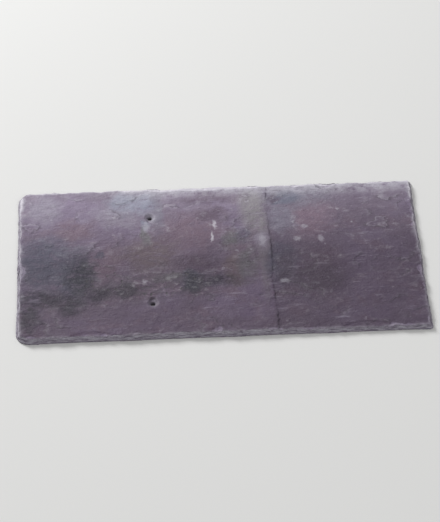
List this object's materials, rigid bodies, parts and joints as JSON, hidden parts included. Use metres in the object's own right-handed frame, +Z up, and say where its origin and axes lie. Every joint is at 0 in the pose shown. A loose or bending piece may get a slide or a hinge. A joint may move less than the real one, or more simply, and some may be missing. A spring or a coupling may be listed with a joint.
{
  "type": "slate roof tile",
  "caption": "Riven rectangular roof slate with hand-dressed edges, rounded head corners, a low cleavage step and spalled nail holes.",
  "frame": {"origin": "on the bed of the slate, under the middle of its outline", "axes": "+X along the slate from the head to the tail, +Y across it, +Z up from the bed to the weathered face"},
  "size_m": [0.508, 0.254, 0.008],
  "materials": {
    "slate": "riven, matt, dusty plum grey"
  },
  "bodies": {
    "root": {"slate": "slate"}
  },
  "joints": []
}
